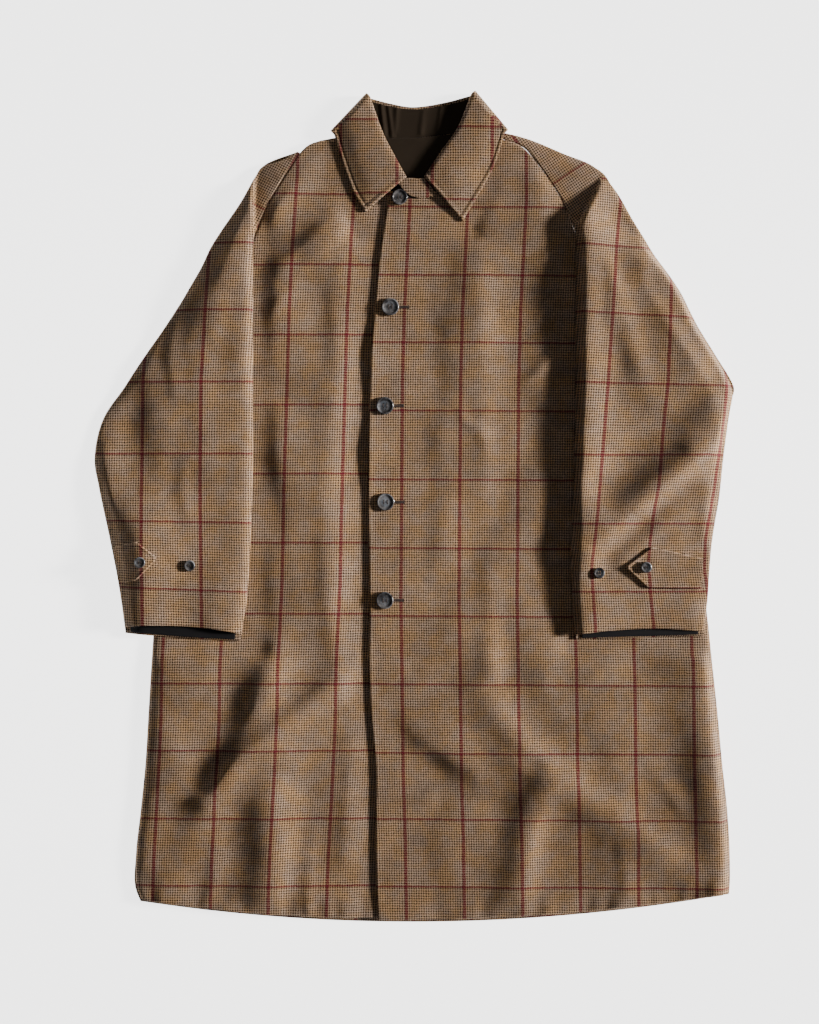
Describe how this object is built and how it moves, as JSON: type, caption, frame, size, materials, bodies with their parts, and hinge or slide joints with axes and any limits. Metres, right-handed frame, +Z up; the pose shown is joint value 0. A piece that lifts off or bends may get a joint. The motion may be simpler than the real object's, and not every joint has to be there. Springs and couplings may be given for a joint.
{
  "type": "raglan coat",
  "caption": "Knee-length raglan coat of checked wool, laid flat and buttoned, with a shirt collar, cuff tabs and horn buttons.",
  "frame": {"origin": "on the surface the coat lies on, under the middle of its outline", "axes": "+Z up out of the surface, +Y from the hem towards the collar, +X to the viewer's right, which is the wearer's left"},
  "size_m": [0.8086, 1.049, 0.0303],
  "materials": {
    "wool_check": "brushed wool in a small dark and tan check with a red windowpane line",
    "body_lining": "plain matt cotton, dark olive brown",
    "cuff_lining": "plain smooth lining, near black",
    "horn": "polished dark horn with a matt hollow"
  },
  "bodies": {
    "root": {"back": "wool_check", "back_lining": "body_lining", "front_right": "wool_check", "front_left": "wool_check", "sleeve_left_back": "wool_check", "sleeve_left_front": "wool_check", "cuff_lining_left": "cuff_lining", "sleeve_right_back": "wool_check", "sleeve_right_front": "wool_check", "cuff_lining_right": "cuff_lining", "collar_fall": "wool_check", "collar_stand": "body_lining", "cuff_tab_left": "wool_check", "cuff_tab_right": "wool_check", "button_front_1": "horn", "button_front_2": "horn", "button_front_3": "horn", "button_front_4": "horn", "button_front_5": "horn", "button_cuff_left": "horn", "button_tab_left": "horn", "button_cuff_right": "horn", "button_tab_right": "horn"}
  },
  "joints": []
}
